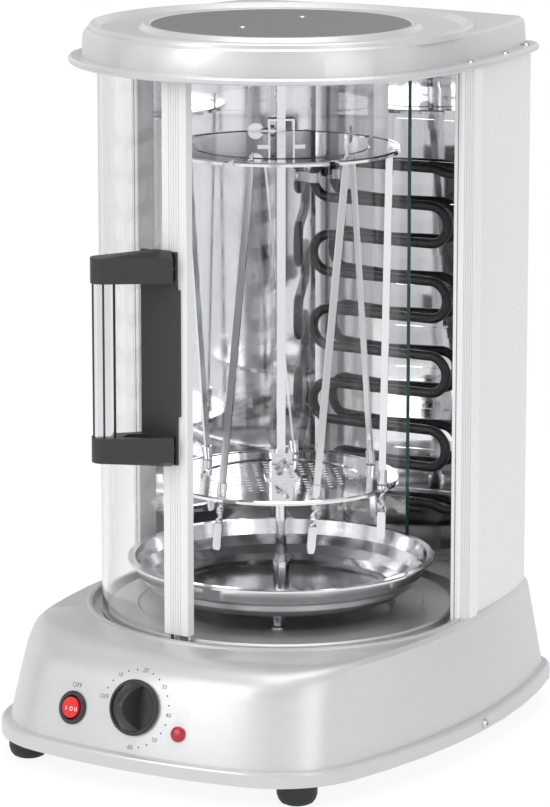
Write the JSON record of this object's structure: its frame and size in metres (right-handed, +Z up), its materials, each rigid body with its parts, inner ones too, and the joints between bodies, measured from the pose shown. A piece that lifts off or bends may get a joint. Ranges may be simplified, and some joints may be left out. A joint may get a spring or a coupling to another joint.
{
  "type": "electric skewer grill",
  "caption": "Vertical electric kebab grill: glass chamber with sliding curved door, turning skewer rotor, rear heater, drip pan and timer base",
  "frame": {"origin": "floor level under the middle of the footprint", "axes": "+Z up, the control panel faces -Y, +X is to the right seen from the front"},
  "size_m": [0.3268, 0.3924, 0.5045],
  "materials": {
    "silver_paint": "satin silver paint, fine orange peel",
    "white_paint": "smooth semi-gloss white paint",
    "white_profile": "white coated extrusion, semi-gloss",
    "zinc_steel": "plain zinc coated sheet",
    "brushed_deck": "circular brushed steel",
    "lid_steel": "fine brushed steel",
    "pan_steel": "polished stainless steel",
    "skewer_steel": "bright stainless steel",
    "screw_steel": "plated steel",
    "polished_sheet": "polished reflector sheet",
    "chrome_disc": "chrome plated sheet",
    "chrome_parts": "chrome plated",
    "grip_metal": "bright anodised",
    "black_plastic": "fine textured black",
    "red_rocker": "translucent red, glossy",
    "red_lens": "red lens, glossy",
    "ceramic": null,
    "white_pad": "white washer",
    "black_rubber": "matt rubber",
    "black_element": "oxidised heater sheath",
    "door_glass": "clear bent glass, green edge"
  },
  "bodies": {
    "housing": {"base_shell": "silver_paint", "base_plate": "zinc_steel", "deck_plate": "brushed_deck", "rubber_feet": "black_rubber", "foot_pads": "white_pad", "base_screws": "screw_steel", "drive_motor": "zinc_steel", "motor_bracket": "zinc_steel", "pan_supports": "screw_steel", "timer_case": "zinc_steel", "switch_case": "black_plastic", "lamp_lens": "red_lens", "lamp_holder": "black_plastic", "cord_gland": "black_plastic", "rear_casing": "white_paint", "reflector": "polished_sheet", "left_post": "white_profile", "right_post": "white_profile", "heating_element": "black_element", "element_clips": "screw_steel", "lead_bushes": "ceramic", "lid_shell": "silver_paint", "lid_disc": "lid_steel", "lid_rivets": "screw_steel", "lid_screws": "screw_steel", "ceiling_plate": "zinc_steel", "top_bearing": "zinc_steel"},
    "door": {"door_glass": "door_glass", "door_stile": "white_profile", "handle_blocks": "black_plastic", "handle_grip": "grip_metal", "grip_inlays": "black_plastic", "handle_plate": "black_plastic", "handle_screws": "screw_steel", "door_slider": "chrome_parts"},
    "rotor": {"spindle": "chrome_parts", "motor_shaft": "screw_steel", "drive_coupling": "chrome_parts", "lower_disc": "chrome_disc", "lower_bracket": "chrome_parts"},
    "upper_carrier": {"upper_disc": "chrome_disc", "upper_bracket": "chrome_parts"},
    "upper_screw": {"upper_thumb_screw": "chrome_parts"},
    "lower_screw": {"lower_wing_screw": "chrome_parts"},
    "drip_tray": {"drip_pan": "pan_steel"},
    "timer_dial": {"timer_knob": "black_plastic", "timer_shaft": "screw_steel"},
    "rocker": {"switch_rocker": "red_rocker"},
    "skewer_body_1": {"skewer_1": "skewer_steel"},
    "skewer_body_2": {"skewer_2": "skewer_steel"},
    "skewer_body_3": {"skewer_3": "skewer_steel"},
    "skewer_body_4": {"skewer_4": "skewer_steel"},
    "skewer_body_5": {"skewer_5": "skewer_steel"},
    "skewer_body_6": {"skewer_6": "skewer_steel"},
    "skewer_body_7": {"skewer_7": "skewer_steel"}
  },
  "joints": [
    {"name": "rotor_spin", "type": "hinge", "parent": "housing", "child": "rotor", "pos_m": [0, 0.0089, 0.3], "axis": [0, 0, 1], "continuous": true},
    {"name": "door_sweep", "type": "hinge", "parent": "housing", "child": "door", "pos_m": [0, 0.0089, 0.28], "axis": [0, 0, 1], "range_deg": [-66, 92]},
    {"name": "upper_disc_height", "type": "slide", "parent": "rotor", "child": "upper_carrier", "axis": [0, 0, 1], "range_m": [-0.006, 0.03]},
    {"name": "upper_screw_turn", "type": "hinge", "parent": "upper_carrier", "child": "upper_screw", "pos_m": [-0.01393, -0.00085, 0.4281], "axis": [-0.8192, -0.5736, 0], "range_deg": [-360, 360]},
    {"name": "lower_screw_turn", "type": "hinge", "parent": "rotor", "child": "lower_screw", "pos_m": [0.00688, -0.00093, 0.1895], "axis": [0.5736, -0.8192, 0], "range_deg": [-360, 360]},
    {"name": "pan_lift", "type": "slide", "parent": "housing", "child": "drip_tray", "axis": [0, 0, 1], "range_m": [0, 0.012]},
    {"name": "timer_turn", "type": "hinge", "parent": "housing", "child": "timer_dial", "pos_m": [-0.0046, -0.17849, 0.0558], "axis": [-0.0101, -0.9612, 0.2756], "range_deg": [-185, 75]},
    {"name": "rocker_tilt", "type": "hinge", "parent": "housing", "child": "rocker", "pos_m": [-0.05539, -0.17241, 0.04662], "axis": [0.0351, 0.2734, 0.9613], "range_deg": [-7, 7]},
    {"name": "skewer_lift_1", "type": "slide", "parent": "rotor", "child": "skewer_body_1", "axis": [0.0986, 0.0109, 0.9951], "range_m": [0, 0.02]},
    {"name": "skewer_lift_2", "type": "slide", "parent": "rotor", "child": "skewer_body_2", "axis": [0.0529, 0.0838, 0.9951], "range_m": [0, 0.02]},
    {"name": "skewer_lift_3", "type": "slide", "parent": "rotor", "child": "skewer_body_3", "axis": [-0.0325, 0.0937, 0.9951], "range_m": [0, 0.02]},
    {"name": "skewer_lift_4", "type": "slide", "parent": "rotor", "child": "skewer_body_4", "axis": [-0.0935, 0.033, 0.9951], "range_m": [0, 0.02]},
    {"name": "skewer_lift_5", "type": "slide", "parent": "rotor", "child": "skewer_body_5", "axis": [-0.0841, -0.0526, 0.9951], "range_m": [0, 0.02]},
    {"name": "skewer_lift_6", "type": "slide", "parent": "rotor", "child": "skewer_body_6", "axis": [-0.0113, -0.0985, 0.9951], "range_m": [0, 0.02]},
    {"name": "skewer_lift_7", "type": "slide", "parent": "rotor", "child": "skewer_body_7", "axis": [0.07, -0.0703, 0.9951], "range_m": [0, 0.02]}
  ]
}
